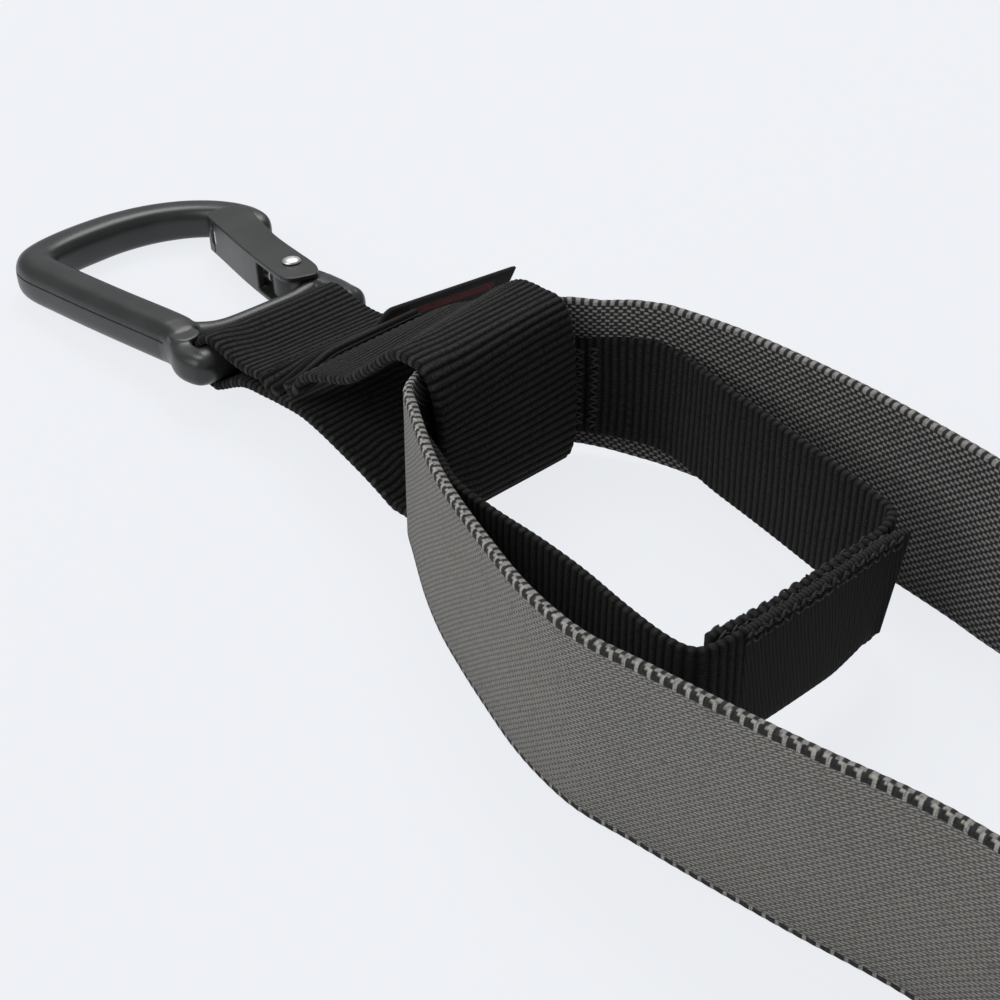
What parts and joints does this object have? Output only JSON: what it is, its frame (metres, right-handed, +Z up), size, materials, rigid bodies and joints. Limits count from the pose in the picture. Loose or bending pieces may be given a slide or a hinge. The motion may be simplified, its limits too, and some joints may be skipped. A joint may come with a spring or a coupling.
{
  "type": "suspension trainer",
  "caption": "Webbing suspension trainer: snap carabiner, anchor loop, strap folded into hanks, cam buckles and padded handles with foot cradles.",
  "frame": {"origin": "on the floor under the bend of the main strap, where the anchor loop lies flat", "axes": "+X from the carabiner towards the handles, +Z up from the floor; the near side is -Y and the far side +Y"},
  "size_m": [0.7493, 0.374, 0.0468],
  "materials": {
    "black_metal": "black anodised, satin",
    "bright_steel": "bright",
    "black_webbing": "ribbed polyester webbing",
    "grey_webbing": "patterned grey webbing with a black and pale edge",
    "label_cloth": "woven tab",
    "foam": "matt foam",
    "rubber": "moulded rubber",
    "tube_plastic": "plain"
  },
  "bodies": {
    "webbing": {"anchor_loop": "black_webbing", "label_tab": "label_cloth", "main_strap": "grey_webbing", "locking_loop": "black_webbing", "buckle_body_near": "black_metal", "cam_pin_near": "bright_steel", "buckle_bar_near": "bright_steel", "cam_spring_near": "bright_steel", "handle_strap_near": "black_webbing", "adjust_tab_near": "black_webbing", "handle_webbing_near": "black_webbing", "foot_cradle_near": "black_webbing", "buckle_body_far": "black_metal", "cam_pin_far": "bright_steel", "buckle_bar_far": "bright_steel", "cam_spring_far": "bright_steel", "handle_strap_far": "black_webbing", "adjust_tab_far": "black_webbing", "handle_webbing_far": "black_webbing", "foot_cradle_far": "black_webbing"},
    "carabiner": {"carabiner_frame": "black_metal", "gate_rivet": "bright_steel"},
    "gate": {"carabiner_gate": "black_metal", "gate_latch_pin": "bright_steel", "gate_plunger": "bright_steel", "gate_spring": "bright_steel"},
    "cam_near": {"cam_lever_near": "black_metal"},
    "cam_far": {"cam_lever_far": "black_metal"},
    "grip_near": {"grip_tube_near": "tube_plastic", "foam_grip_near": "foam", "grip_cap_inner_near": "rubber", "grip_cap_outer_near": "rubber"},
    "grip_far": {"grip_tube_far": "tube_plastic", "foam_grip_far": "foam", "grip_cap_inner_far": "rubber", "grip_cap_outer_far": "rubber"}
  },
  "joints": [
    {"name": "carabiner_swing", "type": "hinge", "parent": "webbing", "child": "carabiner", "pos_m": [-0.0631, -0.0073, 0.0104], "axis": [-0.0785, 0.9969, 0], "range_deg": [-80, 100]},
    {"name": "gate_hinge", "type": "hinge", "parent": "carabiner", "child": "gate", "pos_m": [-0.08559, 0.0126, 0.00912], "axis": [-0.0609, -0.0048, 0.9981], "range_deg": [0, 28], "stiffness_Nm_per_rad": 0.05, "springref_deg": -34.38},
    {"name": "cam_near_hinge", "type": "hinge", "parent": "webbing", "child": "cam_near", "pos_m": [0.2545, -0.0655, 0.0238], "axis": [0, 0, -1], "range_deg": [0, 20], "stiffness_Nm_per_rad": 0.1, "springref_deg": -28.65},
    {"name": "cam_far_hinge", "type": "hinge", "parent": "webbing", "child": "cam_far", "pos_m": [0.2545, 0.0655, 0.0238], "axis": [0, 0, 1], "range_deg": [0, 20], "stiffness_Nm_per_rad": 0.1, "springref_deg": -28.65},
    {"name": "grip_near_spin", "type": "hinge", "parent": "webbing", "child": "grip_near", "pos_m": [0.5149, -0.1, 0.0185], "axis": [0, 1, 0], "continuous": true},
    {"name": "grip_far_spin", "type": "hinge", "parent": "webbing", "child": "grip_far", "pos_m": [0.5149, 0.1, 0.0185], "axis": [0, 1, 0], "continuous": true}
  ]
}
